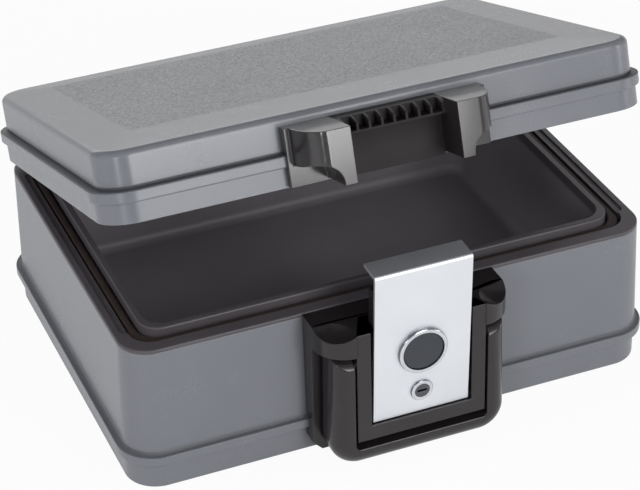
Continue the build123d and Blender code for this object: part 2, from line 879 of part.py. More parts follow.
with BuildPart() as latch_pivot_pin:
    with BuildSketch(Plane.YZ):
        with Locations((pivot_y, pivot_height)):
            Circle(pivot_pin_radius)
    extrude(amount=panel_half, both=True)
    chamfer(latch_pivot_pin.edges(), pin_chamfer)
save(latch_pivot_pin, "latch_pivot_pin")

# ---------------------------------------------------------------- push button

with BuildPart() as button_bezel:
    with BuildSketch(front_plane(carrier_inner_face)):
        with Locations((0, button_height)):
            Circle(bezel_sleeve)
    extrude(amount=bezel_front - carrier_inner_face)
    with BuildSketch(front_plane(plate_front)):
        with Locations((0, button_height)):
            Circle(bezel_outer)
    extrude(amount=bezel_front - plate_front)
    fillet(button_bezel.faces().sort_by(Axis.Y)[0].edges(), bezel_edge_radius)
    with BuildSketch(front_plane(carrier_inner_face)):
        with Locations((0, button_height)):
            Circle(bezel_bore)
    extrude(amount=bezel_front - carrier_inner_face, mode=Mode.SUBTRACT)
release(button_bezel)
save(button_bezel, "button_bezel")

clip_groove_front = guide_back - plunger_gap / 2
clip_groove_width = clip_ring_thickness + 2 * running_gap
with BuildPart() as push_button:
    # Round cap, stem through the guide, and the groove of its clip
    with BuildSketch(front_plane(button_back)):
        with Locations((0, button_height)):
            Circle(button_radius)
    extrude(amount=button_thickness)
    fillet(push_button.faces().sort_by(Axis.Y)[0].edges(), button_edge_radius)
    with BuildSketch(front_plane(button_back)):
        with Locations((0, button_height)):
            Circle(plunger_radius)
    extrude(amount=clip_front + plunger_gap - button_back)
    with BuildSketch(front_plane(clip_groove_front)):
        with Locations((0, button_height)):
            Circle(plunger_radius + running_gap)
            Circle(plunger_radius - clip_groove_depth, mode=Mode.SUBTRACT)
    extrude(amount=-clip_groove_width, mode=Mode.SUBTRACT)
release(push_button)
save(push_button, "push_button")

with BuildPart() as button_clip:
    with BuildSketch(front_plane(clip_groove_front - running_gap)):
        with Locations((0, button_height)):
            Circle(clip_ring_radius)
            Circle(plunger_radius - clip_groove_depth + running_gap, mode=Mode.SUBTRACT)
            with Locations((0, -clip_ring_radius)):
                Rectangle(plunger_radius, clip_ring_radius, mode=Mode.SUBTRACT)
    extrude(amount=-clip_ring_thickness)
release(button_clip)
save(button_clip, "button_clip")

with BuildPart() as button_spring:
    guide_front = guide_back + guide_thickness
    coil_length = button_back - guide_front - spring_wire - 2 * running_gap
    coil_start = guide_front + spring_wire / 2 + running_gap
    with BuildLine() as coil:
        Helix(
            pitch=coil_length / spring_turns,
            height=coil_length,
            radius=spring_coil_radius,
            center=(0, ahead(coil_start), button_height),
            direction=(0, -1, 0),
        )
    with BuildSketch(Plane(origin=coil.line @ 0, z_dir=coil.line % 0)):
        Circle(spring_wire / 2)
    sweep()
release(button_spring)
save(button_spring, "button_spring")

# ---------------------------------------------------------------- key lock

with BuildPart() as lock_body:
    with BuildSketch(front_plane(plate_front)):
        with Locations((0, lock_height)):
            Circle(lock_flange_radius)
    extrude(amount=lock_flange_thickness)
    fillet(lock_body.faces().sort_by(Axis.Y)[0].edges(), lock_flange_edge_radius)
    with BuildSketch(front_plane(lock_body_back)):
        with Locations((0, lock_height)):
            Circle(lock_body_radius)
    extrude(amount=lock_flange_front - lock_body_back)
    with BuildSketch(front_plane(lock_body_back)):
        with Locations((0, lock_height)):
            Circle(plug_radius + running_gap)
    extrude(amount=lock_flange_front - lock_body_back, mode=Mode.SUBTRACT)
release(lock_body)
save(lock_body, "lock_body")

with BuildPart() as lock_nut:
    with BuildSketch(front_plane(carrier_inner_face)):
        with Locations((0, lock_height)):
            RegularPolygon(lock_nut_radius, 6)
            Circle(lock_body_radius + running_gap, mode=Mode.SUBTRACT)
    extrude(amount=-lock_nut_thickness)
release(lock_nut)
save(lock_nut, "lock_nut")

cam_screw_planes = [
    Plane(origin=(0, ahead(plug_back - cam_thickness), lock_height), x_dir=(-1, 0, 0), z_dir=(0, 1, 0))
]
cam_screw_hole = rods(cam_screw_planes, cam_screw_radius + running_gap, cam_screw_length + fit_gap)

with BuildPart() as lock_plug:
    plug_front = lock_flange_front - plug_inset
    with BuildSketch(front_plane(plug_back)):
        with Locations((0, lock_height)):
            Circle(plug_radius)
    extrude(amount=plug_front - plug_back)
    with BuildSketch(front_plane(plug_front)):
        with Locations((0, lock_height)):
            Rectangle(keyway_length, keyway_width)
    extrude(amount=-keyway_depth, mode=Mode.SUBTRACT)
    add(cam_screw_hole, mode=Mode.SUBTRACT)
release(lock_plug)
save(lock_plug, "lock_plug")

with BuildPart() as lock_cam:
    # Lever that lies to the left when unlocked and stands up behind the clip's tail when locked
    with BuildSketch(front_plane(plug_back)):
        with Locations((0, lock_height)):
            Circle(plug_radius)
        span(-cam_reach + cam_half_width, 0, lock_height - cam_half_width, lock_height + cam_half_width)
        with Locations((cam_half_width - cam_reach, lock_height)):
            Circle(cam_half_width)
    extrude(amount=-cam_thickness)
    add(cam_screw_hole, mode=Mode.SUBTRACT)
release(lock_cam)
save(lock_cam, "lock_cam")

cam_screw = screws(cam_screw_planes, cam_screw_radius, cam_screw_head, cam_screw_height, cam_screw_length)
release(cam_screw)
save(cam_screw, "cam_screw")

# ---------------------------------------------------------------- lid shell, liner and insulation

lid_belt_top = base_height + lid_belt_bottom + lid_belt_height
lid_roof_under = lid_top - lid_top_wall


def lid_filling(inset, bottom, top):
    """Block with the lid's rounded plan and bevelled top, for the hollow and for what fills it."""
    with BuildPart() as filling:
        with BuildSketch(Plane.XY.offset(bottom)):
            case_outline(inset)
        extrude(amount=top - bottom)
        chamfer(filling.faces().sort_by(Axis.Z)[-1].edges(), lid_top_wall)
    return filling.part


with BuildPart() as lid_shell:
    # Skirt below the belt, then the upright wall and its rounded shoulder
    with BuildSketch(Plane.XY.offset(lid_floor)):
        stepped_outline(lid_skirt_step)
    extrude(amount=base_height + lid_belt_bottom - lid_floor)
    with BuildSketch(Plane.XY.offset(lid_floor)):
        case_outline()
    extrude(amount=lid_height - seam_gap)
    fillet(lid_shell.faces().sort_by(Axis.Z)[-1].edges(), lid_shoulder_radius)
    add(belt_solid(lid_belt_outset, base_height + lid_belt_bottom, lid_belt_height))
    with BuildSketch(Plane.XY.offset(lid_belt_top)):
        case_outline(-fit_gap)
        case_outline(belt_groove_depth, mode=Mode.SUBTRACT)
    extrude(amount=belt_groove_height, mode=Mode.SUBTRACT)
    # Low crown up to the flat panel
    with BuildSketch(Plane.XY.offset(lid_top)):
        case_outline(lid_shoulder_radius)
    with BuildSketch(Plane.XY.offset(lid_top + lid_crown)):
        with Locations((0, (panel_front_border - panel_back_border) / 2)):
            RectangleRounded(
                rim_width - 2 * panel_side_border,
                rim_depth - panel_front_border - panel_back_border,
                panel_corner,
            )
    loft()
    add(lid_filling(shell_wall, lid_floor, lid_roof_under), mode=Mode.SUBTRACT)
    add(bracket_screw_holes, mode=Mode.SUBTRACT)
    add(lid_hinge_screw_holes, mode=Mode.SUBTRACT)
swing_open(lid_shell)
save(lid_shell, "lid_shell")

with BuildPart() as lid_liner:
    # Flat cover of the insulation, with a tongue for the seal and a groove for the base's lip
    with BuildSketch(Plane.XY.offset(lid_liner_floor)):
        case_outline(shell_wall + fit_gap)
    extrude(amount=lid_liner_thickness)
    tongue_start = (channel_start + channel_end - tongue_width) / 2
    tongue_floor = channel_bottom + seal_height + tongue_clearance
    with BuildSketch(Plane.XY.offset(tongue_floor)):
        case_outline(tongue_start)
        case_outline(tongue_start + tongue_width, mode=Mode.SUBTRACT)
    extrude(amount=lid_liner_floor - tongue_floor)
    with BuildSketch(Plane.XY.offset(lid_liner_floor)):
        case_outline(channel_end - lip_clearance)
        case_outline(tray_start + lip_clearance, mode=Mode.SUBTRACT)
    extrude(amount=base_height + lip_height + lip_clearance - lid_liner_floor, mode=Mode.SUBTRACT)
swing_open(lid_liner)
save(lid_liner, "lid_liner")

with BuildPart() as lid_insulation:
    add(lid_filling(shell_wall + fit_gap, lid_liner_roof, lid_roof_under - fit_gap))
    for plane in bracket_screw_planes:
        with BuildSketch(plane):
            Circle(screw_head_radius + fit_gap)
    extrude(amount=screw_head_height + fit_gap, mode=Mode.SUBTRACT)
    for plane in lid_hinge_screw_planes:
        with BuildSketch(plane):
            Circle(hinge_screw_radius + fit_gap)
    extrude(amount=-hinge_screw_length - fit_gap, mode=Mode.SUBTRACT)
swing_open(lid_insulation)
save(lid_insulation, "lid_insulation")

# ---------------------------------------------------------------- lid bracket

with BuildPart() as lid_front:
    with BuildSketch(Plane.XY.offset(base_height)):
        case_outline(-fit_gap)
    extrude(amount=lid_height)
    with BuildSketch(Plane.XY.offset(base_height)):
        stepped_outline(lid_skirt_step, fit_gap)
    extrude(amount=lid_belt_bottom)
    with BuildSketch(Plane.XY.offset(base_height + lid_belt_bottom - fit_gap)):
        case_outline(-lid_belt_outset - fit_gap)
    extrude(amount=lid_belt_height + 2 * fit_gap)

with BuildPart() as lid_bracket:
    # Right pillar: flat in front, rounded off to the outer side, with a finger arch at its foot
    with BuildSketch(Plane.XY.offset(base_height + pillar_bottom)):
        with BuildLine():
            Polyline(
                (pillar_flat_end, ahead(pillar_stand)),
                (pillar_inner, ahead(pillar_stand)),
                (pillar_inner, ahead(0)),
                (pillar_half, ahead(0)),
                (pillar_half, ahead(bracket_back_thickness)),
            )
            EllipticalCenterArc(
                center=(pillar_flat_end, ahead(bracket_back_thickness)),
                x_radius=pillar_half - pillar_flat_end,
                y_radius=pillar_stand - bracket_back_thickness,
                start_angle=-quarter_turn,
                arc_size=quarter_turn,
            )
        make_face()
    extrude(amount=bracket_top - pillar_bottom)
    with BuildSketch(front_plane(bracket_back_thickness)):
        with Locations((thumb_centre_x, base_height + thumb_centre_height)):
            Circle(thumb_radius)
    extrude(amount=pillar_stand, mode=Mode.SUBTRACT)
    mirror(about=Plane.YZ)
    # Back plate, and the recess's hollowed back wall
    with BuildSketch(front_plane(0)):
        span(-bracket_half, bracket_half, base_height + bracket_bottom, base_height + bracket_top)
    extrude(amount=bracket_back_thickness)
    with BuildSketch(front_plane(0)):
        span(-pillar_inner, pillar_inner, base_height + bracket_bottom, base_height + bracket_top)
    extrude(amount=recess_back)
    with BuildSketch(Plane.YZ):
        hollow_stand = recess_back - recess_hollow + recess_hollow_radius
        with Locations((ahead(hollow_stand), base_height + (bracket_bottom + ledge_bottom) / 2)):
            Circle(recess_hollow_radius)
        span(
            ahead(hollow_stand + recess_hollow_radius),
            ahead(0),
            base_height + bracket_bottom,
            base_height + ledge_bottom,
            mode=Mode.INTERSECT,
        )
    extrude(amount=pillar_inner, both=True, mode=Mode.SUBTRACT)
    # Ledge that the flap's hook closes over, sloped at its front, with a row of open pockets
    with BuildSketch(Plane.YZ):
        with BuildLine():
            Polyline(
                (ahead(bracket_back_thickness), base_height + ledge_bottom),
                (ahead(ledge_front), base_height + ledge_bottom),
                (ahead(ledge_front), base_height + bracket_top - ledge_slope_drop),
                (ahead(ledge_slope_start), base_height + bracket_top),
                (ahead(bracket_back_thickness), base_height + bracket_top),
                close=True,
            )
        make_face()
    extrude(amount=pillar_inner, both=True)
    with BuildSketch(front_plane(recess_back)):
        with Locations((0, base_height + (ledge_bottom + ledge_floor + bracket_top) / 2)):
            with GridLocations(ledge_pocket_pitch, 0, ledge_pocket_count, 1):
                Rectangle(
                    ledge_pocket_pitch - ledge_rib_thickness, bracket_top - ledge_bottom - ledge_floor
                )
    extrude(amount=ledge_front - recess_back, mode=Mode.SUBTRACT)
    add(lid_front.part, mode=Mode.SUBTRACT)
    add(bracket_screw_holes, mode=Mode.SUBTRACT)
swing_open(lid_bracket)
save(lid_bracket, "lid_bracket")

bracket_screws = screws(
    bracket_screw_planes, screw_radius, screw_head_radius, screw_head_height, screw_length
)
swing_open(bracket_screws)
save(bracket_screws, "bracket_screws")

# ---------------------------------------------------------------- rear hinges

heel_corner = hypot(heel_radius, heel_thickness / 2)
heel_tilt = degrees(asin((hinge_setback - leaf_thickness - heel_gap) / heel_corner))
heel_tilt -= degrees(atan(heel_thickness / 2 / heel_radius))
heel_angle = lid_full_angle - 90 - heel_tilt

for name, centre in hinge_centres:
    # Base leaf with a knuckle at each end
    with BuildPart() as base_leaf:
        with BuildSketch(Plane.YZ.offset(centre)):
            span(back_rim, leaf_back, base_leaf_bottom, base_leaf_top)
        extrude(amount=hinge_width / 2, both=True)
        for _, side in sides:
            with BuildSketch(Plane.YZ.offset(centre + side * (centre_knuckle / 2 + knuckle_gap))):
                with BuildLine():
                    Polyline(
                        (back_rim, base_leaf_top - leaf_thickness),
                        (back_rim, base_leaf_top),
                        (hinge_y - web_reach, hinge_z),
                        (hinge_y + web_reach, hinge_z - web_drop),
                        (leaf_back, base_leaf_top - 2 * leaf_thickness),
                        close=True,
                    )
                make_face()
                with Locations((hinge_y, hinge_z)):
                    Circle(knuckle_radius)
                    Circle(hinge_pin_radius + running_gap, mode=Mode.SUBTRACT)
            extrude(amount=side * (hinge_width / 2 - centre_knuckle / 2 - knuckle_gap))
        add(base_hinge_screw_holes, mode=Mode.SUBTRACT)
    save(base_leaf, f"hinge_base_leaf_{name}")

    # Lid leaf with the middle knuckle, and the heel that stops the lid fully open
    with BuildPart() as lid_leaf:
        with BuildSketch(Plane.YZ.offset(centre)):
            span(back_rim, leaf_back, lid_leaf_bottom, lid_leaf_bottom + lid_leaf_height)
        extrude(amount=hinge_width / 2, both=True)
        with BuildSketch(Plane.YZ.offset(centre)):
            with BuildLine():
                Polyline(
                    (back_rim, lid_leaf_bottom + leaf_thickness),
                    (back_rim, lid_leaf_bottom),
                    (hinge_y - web_reach, hinge_z),
                    (hinge_y + web_reach, hinge_z + web_drop),
                    (leaf_back, lid_leaf_bottom + 2 * leaf_thickness),
                    close=True,
                )
            make_face()
            with Locations(Location((hinge_y, hinge_z), -heel_angle)):
                with Locations((heel_radius / 2, 0)):
                    Rectangle(heel_radius, heel_thickness)
            with Locations((hinge_y, hinge_z)):
                Circle(knuckle_radius)
                Circle(hinge_pin_radius + running_gap, mode=Mode.SUBTRACT)
        extrude(amount=centre_knuckle / 2, both=True)
        add(lid_hinge_screw_holes, mode=Mode.SUBTRACT)
    swing_open(lid_leaf)
    save(lid_leaf, f"hinge_lid_leaf_{name}")

    with BuildPart() as hinge_pin:
        with BuildSketch(Plane.YZ.offset(centre)):
            with Locations((hinge_y, hinge_z)):
                Circle(hinge_pin_radius)
        extrude(amount=hinge_width / 2, both=True)
        chamfer(hinge_pin.edges(), pin_chamfer)
    save(hinge_pin, f"hinge_pin_{name}")

base_hinge_screws = screws(
    base_hinge_screw_planes,
    hinge_screw_radius,
    hinge_screw_head,
    hinge_screw_head_height,
    hinge_screw_length,
)
save(base_hinge_screws, "base_hinge_screws")

lid_hinge_screws = screws(
    lid_hinge_screw_planes,
    hinge_screw_radius,
    hinge_screw_head,
    hinge_screw_head_height,
    hinge_screw_length,
)
swing_open(lid_hinge_screws)
save(lid_hinge_screws, "lid_hinge_screws")
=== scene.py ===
import json
from math import radians

import bmesh
import bpy
from mathutils import Matrix, Vector

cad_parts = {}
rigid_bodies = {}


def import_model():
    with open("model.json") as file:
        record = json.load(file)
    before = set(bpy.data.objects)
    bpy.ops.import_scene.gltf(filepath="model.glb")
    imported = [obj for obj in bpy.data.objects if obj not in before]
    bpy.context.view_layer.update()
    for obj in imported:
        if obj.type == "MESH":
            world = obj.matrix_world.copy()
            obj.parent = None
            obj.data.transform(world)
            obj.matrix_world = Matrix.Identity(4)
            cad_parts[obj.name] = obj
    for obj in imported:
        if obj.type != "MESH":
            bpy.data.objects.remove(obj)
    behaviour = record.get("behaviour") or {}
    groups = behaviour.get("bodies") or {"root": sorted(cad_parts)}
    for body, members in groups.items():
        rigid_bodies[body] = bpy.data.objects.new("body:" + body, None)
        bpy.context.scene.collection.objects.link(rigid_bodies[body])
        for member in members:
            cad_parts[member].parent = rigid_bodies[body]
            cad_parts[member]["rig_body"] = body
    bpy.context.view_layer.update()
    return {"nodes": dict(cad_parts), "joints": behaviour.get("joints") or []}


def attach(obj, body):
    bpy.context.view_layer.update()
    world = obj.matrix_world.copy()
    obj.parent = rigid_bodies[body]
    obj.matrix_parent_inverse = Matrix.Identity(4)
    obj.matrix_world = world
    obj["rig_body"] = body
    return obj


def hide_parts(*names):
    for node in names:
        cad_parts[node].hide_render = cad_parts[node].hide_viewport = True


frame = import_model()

# ---------------------------------------------------------------- lid shell
# The lid's skin is one moulding in grey, satin polypropylene. Its top carries a rectangle of fine
# grain inside four smooth borders that fall away to the edges. It hangs on two hinges at the back.


class Field:
    """A number that varies over a surface. Arithmetic on it adds Math nodes."""

    def __init__(self, tree, socket):
        self.tree = tree
        self.socket = socket

    def maths(self, operation, *terms):
        return node(self.tree, "Math", {"operation": operation}, dict(enumerate(terms)))

    def __add__(self, other):
        return self.maths("ADD", self, other)

    def __sub__(self, other):
        return self.maths("SUBTRACT", self, other)

    def __rsub__(self, other):
        return self.maths("SUBTRACT", other, self)

    def __mul__(self, other):
        return self.maths("MULTIPLY", self, other)

    def __abs__(self):
        return self.maths("ABSOLUTE", self)

    __radd__ = __add__
    __rmul__ = __mul__

    def band(self, start, end):
        """Rises smoothly from 0 at start to 1 at end."""
        sockets = {"Value": self, "From Min": start, "From Max": end}
        return node(self.tree, "MapRange", {"interpolation_type": "SMOOTHSTEP"}, sockets)


def node(tree, kind, settings=None, sockets=None, output=0):
    """Adds a node with its settings, then its socket values or links, and returns one output."""
    made = tree.nodes.new("ShaderNode" + kind)
    for setting, value in (settings or {}).items():
        setattr(made, setting, value)
    for name, value in (sockets or {}).items():
        matches = [socket for socket in made.inputs if name in (socket.identifier, socket.name)]
        target = made.inputs[name] if isinstance(name, int) else matches[0]
        if isinstance(value, Field):
            tree.links.new(value.socket, target)
        else:
            target.default_value = value
    return Field(tree, made.outputs[output])


def paint(red, green, blue):
    """Scene-linear colour of a colour given in display values from 0 to 255."""
    parts = [value / 255 for value in (red, green, blue)]
    linear = [part / 12.92 if part <= 0.04045 else ((part + 0.055) / 1.055) ** 2.4 for part in parts]
    return (*linear, 1.0)


class Finish:
    """A material: its Principled shader, and the fields that vary it over the surface."""

    def __init__(self, name, **constants):
        self.material = bpy.data.materials.new(name)
        self.material.use_nodes = True
        self.tree = self.material.node_tree
        self.shader = self.tree.nodes["Principled BSDF"]
        for socket, value in constants.items():
            self.shader.inputs[socket.replace("_", " ")].default_value = value

    def node(self, kind, settings=None, sockets=None, output=0):
        return node(self.tree, kind, settings, sockets, output)

    def place(self, turn=(0, 0, 0), shift=(0, 0, 0)):
        """Object coordinates, turned and then shifted."""
        sockets = {"Vector": self.node("TexCoord", output=3), "Rotation": turn, "Location": shift}
        return self.node("Mapping", {"vector_type": "POINT"}, sockets)

    def along(self, place, axis):
        """Coordinate of a place along axis 0, 1 or 2, in metres."""
        return self.node("SeparateXYZ", sockets={"Vector": place}, output=axis)

    def off_axis(self, place, point, direction):
        """Distance from the line through a point, in metres."""
        apart = self.node("VectorMath", {"operation": "SUBTRACT"}, {0: place, 1: point})
        side = self.node("VectorMath", {"operation": "CROSS_PRODUCT"}, {0: apart, 1: direction})
        return self.node("VectorMath", {"operation": "LENGTH"}, {0: side}, output=1)

    def noise(self, place, size, detail=2.0, roughness=0.5):
        """Cloudy field about 0.5 whose blotches measure about size, in metres."""
        sockets = {"Vector": place, "Scale": 1 / size, "Detail": detail, "Roughness": roughness}
        return self.node("TexNoise", sockets=sockets)

    def blend(self, share, first, second):
        """Colour that goes from first to second with share."""
        sockets = {"Factor_Float": share, "A_Color": first, "B_Color": second}
        return self.node("Mix", {"data_type": "RGBA"}, sockets, output=2)

    def feed(self, height=None, depth=0.0, **fields):
        """Links fields to the shader's sockets, and a height field of that depth to its normal."""
        for name, field in fields.items():
            self.tree.links.new(field.socket, self.shader.inputs[name.replace("_", " ")])
        if height is not None:
            bump = self.node("Bump", sockets={"Height": height, "Distance": depth, "Strength": 1.0})
            self.tree.links.new(bump.socket, self.shader.inputs["Normal"])
        return self.material


def softened(node_name, radius, finish, sharpest_left=25.0, crisp=None):
    """Copy of a CAD piece with its sharper edges, by angle in degrees, eased to a small radius."""
    weld_gap = 2e-6
    flat_angle = radians(0.12)
    shading_break = radians(34.0)

    source = frame["nodes"][node_name]
    skin = bmesh.new()
    skin.from_mesh(source.data)
    bmesh.ops.remove_doubles(skin, verts=skin.verts, dist=weld_gap)
    bmesh.ops.dissolve_limit(skin, angle_limit=flat_angle, verts=skin.verts, edges=skin.edges)
    limit = radians(sharpest_left)
    bmesh.ops.bevel(
        skin,
        geom=[edge for edge in skin.edges if edge.is_manifold and edge.calc_face_angle() > limit],
        offset=radius,
        offset_type="OFFSET",
        segments=3,
        profile=0.5,
        material=-1,
        affect="EDGES",
        clamp_overlap=False,
    )
    for face in skin.faces:
        face.smooth = True
    for edge in skin.edges:
        angle = edge.calc_face_angle() if edge.is_manifold else 0.0
        edge.smooth = angle < shading_break and not (crisp and crisp(edge, angle))
    mesh = bpy.data.meshes.new(node_name + "_skin")
    skin.to_mesh(mesh)
    skin.free()
    mesh.materials.append(finish)
    piece = bpy.data.objects.new(node_name + "_skin", mesh)
    bpy.context.scene.collection.objects.link(piece)
    piece.modifiers.new("even_normals", "WEIGHTED_NORMAL").keep_sharp = True
    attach(piece, source["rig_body"])
    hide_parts(node_name)


moulded_edge = 0.00035
lid_crease_height = 0.1225
lid_top_height = 0.145
grain_half_width = 0.143
grain_front = -0.085
grain_back = 0.101
grain_edge = 0.0006
grain_rise = 0.0004
pebbles_per_metre = 1100.0

lid_hinge = next(joint for joint in frame["joints"] if joint["name"] == "lid_hinge")
lid_open_angle = radians(-lid_hinge["range_deg"][0])
lid_turn = Matrix.Rotation(lid_open_angle, 4, "X")
lid_up = lid_turn.inverted() @ Vector((0, 0, 1))
hinge_line = Vector(lid_hinge["pos_m"])
lid_shift = hinge_line - lid_turn @ hinge_line


def shell_finish(name, crease_height, turn=(0, 0, 0), shift=(0, 0, 0), grained=False):
    """Satin grey plastic with painted shade in the crease over its belt, and grained where the lid's
    panel is.
    """
    crease_reach = 0.0022
    crease_core = 0.0006
    skin_depth = 0.00016
    plastic = Finish(name, Specular_IOR_Level=0.5)
    place = plastic.place(turn, shift)
    across, along, up = (plastic.along(place, axis) for axis in range(3))
    clouds = plastic.noise(place, size=0.045)
    pores = plastic.noise(place, size=0.0006, detail=3.0)
    # Painted shade: the colour darkens along the crease over the belt, where the cove lies in shade.
    painted_crease_shade = abs(up - crease_height).band(crease_reach, crease_core)
    colour = plastic.blend(clouds, paint(106, 109, 115), paint(113, 115, 121))
    colour = plastic.blend(painted_crease_shade * 0.55, colour, paint(34, 34, 37))
    roughness = 0.2 + clouds * 0.06 + pores * 0.06 + painted_crease_shade * 0.3
    height = pores * 0.05
    if grained:
        middle = (grain_front + grain_back) / 2
        half_depth = (grain_back - grain_front) / 2
        panel = abs(across).band(grain_half_width, grain_half_width - grain_edge)
        panel = panel * abs(along - middle).band(half_depth, half_depth - grain_edge)
        panel = panel * up.band(lid_top_height - grain_rise, lid_top_height)
        cells = {"Vector": place, "Scale": pebbles_per_metre, "Randomness": 1.0}
        pebbles = plastic.node("TexVoronoi", {"feature": "SMOOTH_F1"}, cells)
        speckle = plastic.noise(place, size=0.0013, detail=4.0, roughness=0.7).band(0.36, 0.64)
        grain = plastic.blend(speckle, paint(84, 86, 90), paint(168, 170, 175))
        colour = plastic.blend(panel * 0.85, colour, grain)
        roughness = roughness + panel * 0.22
        height = height + panel * (1 - pebbles)
    return plastic.feed(height, skin_depth, Base_Color=colour, Roughness=roughness)


def crown_crease(edge, angle):
    """True where two of the lid's nearly level top faces meet at a slight angle."""
    nearly_level = radians(10)
    slight = radians(1.0)
    level = all(face.normal.angle(lid_up) < nearly_level for face in edge.link_faces)
    return level and angle > slight


lid_grey = shell_finish("lid_grey", lid_crease_height, (lid_open_angle, 0, 0), lid_shift, grained=True)
softened("lid_shell", moulded_edge, lid_grey, crisp=crown_crease)

# ---------------------------------------------------------------- base shell
# The base's skin is the same grey plastic, one deep moulding with a rounded belt above its foot
# band. The belt and the foot are round already, so only the squarest edges are eased.

base_crease_height = 0.0264
base_grey = shell_finish("base_grey", base_crease_height)
softened("base_shell", moulded_edge, base_grey, sharpest_left=60.0)

# ---------------------------------------------------------------- liners
# The tub that holds the papers is one dark plastic moulding with its lip and its flange over the
# shell's edge, painted paler inside the tub as painted light. The lid's inner cover is moulded in the
# same plastic.

tub_starts = 0.099
tub_paler_from = 0.095
liner = Finish("liner_black", Specular_IOR_Level=0.4)
place = liner.place()
clouds = liner.noise(place, size=0.03)
pores = liner.noise(place, size=0.0005, detail=3.0)
# Painted light: the tub's inside is painted paler than its lip and flange.
tub_painted_light = liner.along(place, 2).band(tub_starts, tub_paler_from)
lip_colour = liner.blend(clouds, paint(72, 68, 72), paint(82, 78, 82))
tub_painted_light_colour = liner.blend(clouds, paint(122, 118, 122), paint(132, 128, 132))
liner_colour = liner.blend(tub_painted_light, lip_colour, tub_painted_light_colour)
liner_roughness = 0.36 + clouds * 0.1
liner_black = liner.feed(pores, depth=0.00003, Base_Color=liner_colour, Roughness=liner_roughness)
softened("base_liner", moulded_edge, liner_black)
softened("lid_liner", moulded_edge, liner_black)

# ---------------------------------------------------------------- rim seal
# A soft rubber cord lies in the channel round the lip and keeps water out when the lid is down.
# It is cut from brown-black foam rubber with a closed, slightly dusty skin.


def even_finish(
    name, darkest, palest, smoothest, roughening, cloud_size, pore_size, detail, depth, **constants
):
    """A plain surface: colour and roughness drift in clouds, and fine pores break its skin."""
    finish = Finish(name, **constants)
    place = finish.place()
    clouds = finish.noise(place, cloud_size)
    pores = finish.noise(place, pore_size, detail)
    colour = finish.blend(clouds, paint(*darkest), paint(*palest))
    return finish.feed(pores, depth, Base_Color=colour, Roughness=smoothest + clouds * roughening)


def dress(finish, *node_names):
    """Gives CAD pieces whose shape is right their finish."""
    for node_name in node_names:
        for slot in frame["nodes"][node_name].material_slots:
            slot.material = finish


seal_rubber = even_finish(
    "seal_rubber",
    darkest=(44, 35, 33),
    palest=(58, 47, 44),
    smoothest=0.62,
    roughening=0.1,
    cloud_size=0.02,
    pore_size=0.0007,
    detail=4.0,
    depth=0.00006,
    Specular_IOR_Level=0.3,
)
dress(seal_rubber, "rim_seal")

# ---------------------------------------------------------------- insulation
# Both halves are filled with a pale cast mineral mix that holds water and keeps the heat out.
# Nothing of it shows from outside.


def crumbed_finish(
    name, darkest, palest, smoothest, roughening, crumb_size, detail, depth, breakup=0.5, **constants
):
    """A surface of crumbs or crystals, which its colour, roughness and height all follow."""
    finish = Finish(name, **constants)
    crumbs = finish.noise(finish.place(), crumb_size, detail, breakup)
    colour = finish.blend(crumbs, paint(*darkest), paint(*palest))
    return finish.feed(crumbs, depth, Base_Color=colour, Roughness=smoothest + crumbs * roughening)


cast_mineral = crumbed_finish(
    "cast_mineral",
    darkest=(196, 188, 172),
    palest=(222, 216, 203),
    smoothest=0.82,
    roughening=0.1,
    crumb_size=0.004,
    detail=5.0,
    depth=0.0004,
    breakup=0.65,
    Specular_IOR_Level=0.2,
)
dress(cast_mineral, "base_insulation", "lid_insulation")

# ---------------------------------------------------------------- latch housing, handle and flap carrier
# Black ABS mouldings with a satin gloss: the housing screwed to the base, the U-shaped carry handle
# pinned between its ears, and the carrier behind the latch plate.

trim_edge = 0.0005
handle_edge = 0.0009
trim_darkest = (31, 28, 30)
trim_palest = (37, 33, 35)
trim_black = even_finish(
    "trim_black",
    darkest=trim_darkest,
    palest=trim_palest,
    smoothest=0.19,
    roughening=0.05,
    cloud_size=0.02,
    pore_size=0.0007,
    detail=2.0,
    depth=0.00002,
    Specular_IOR_Level=0.5,
)
softened("latch_housing", trim_edge, trim_black)
softened("bail_handle", handle_edge, trim_black)
softened("latch_carrier", moulded_edge, trim_black)

# ---------------------------------------------------------------- lid bracket
# The bracket is screwed to the lid's front. Its two pillars are polished in the mould, and the recess
# and the comb between them, which the flap hooks over, are left dull.

recess_half = 0.0337
polish_edge = 0.0006
bracket = Finish("bracket_black", Specular_IOR_Level=0.2, Coat_Roughness=0.16, Coat_IOR=1.6)
place = bracket.place()
clouds = bracket.noise(place, size=0.02)
pores = bracket.noise(place, size=0.0007)
bracket_colour = bracket.blend(clouds, paint(*trim_darkest), paint(*trim_palest))
polish = abs(bracket.along(place, 0)).band(recess_half, recess_half + polish_edge)
bracket_roughness = 0.5 + clouds * 0.1
bracket_black = bracket.feed(
    pores, depth=0.00002, Base_Color=bracket_colour, Roughness=bracket_roughness, Coat_Weight=polish
)
softened("lid_bracket", trim_edge, bracket_black)

# ---------------------------------------------------------------- latch plate
# The flap's face is folded from silver-finished sheet metal. Its top edge is bent back into the
# hook that holds the lid down, and its studs are pushed through the carrier behind it.

sheared_edge = 0.0002
plate_silver = even_finish(
    "plate_silver",
    darkest=(226, 229, 233),
    palest=(234, 236, 240),
    smoothest=0.45,
    roughening=0.06,
    cloud_size=0.025,
    pore_size=0.0004,
    detail=2.0,
    depth=0.00001,
    Metallic=1.0,
)
softened("latch_plate", sheared_edge, plate_silver)

# ---------------------------------------------------------------- push button
# A slate-grey plastic cap slides in a chromed ring that is pressed through the plate. A grey line is
# painted along the ring's outer rim as painted shade and dark reflection, where the ring meets the
# plate.

button_slate = even_finish(
    "button_slate",
    darkest=(40, 44, 50),
    palest=(48, 51, 57),
    smoothest=0.36,
    roughening=0.08,
    cloud_size=0.008,
    pore_size=0.0005,
    detail=3.0,
    depth=0.00002,
    Specular_IOR_Level=0.5,
)
dress(button_slate, "push_button")

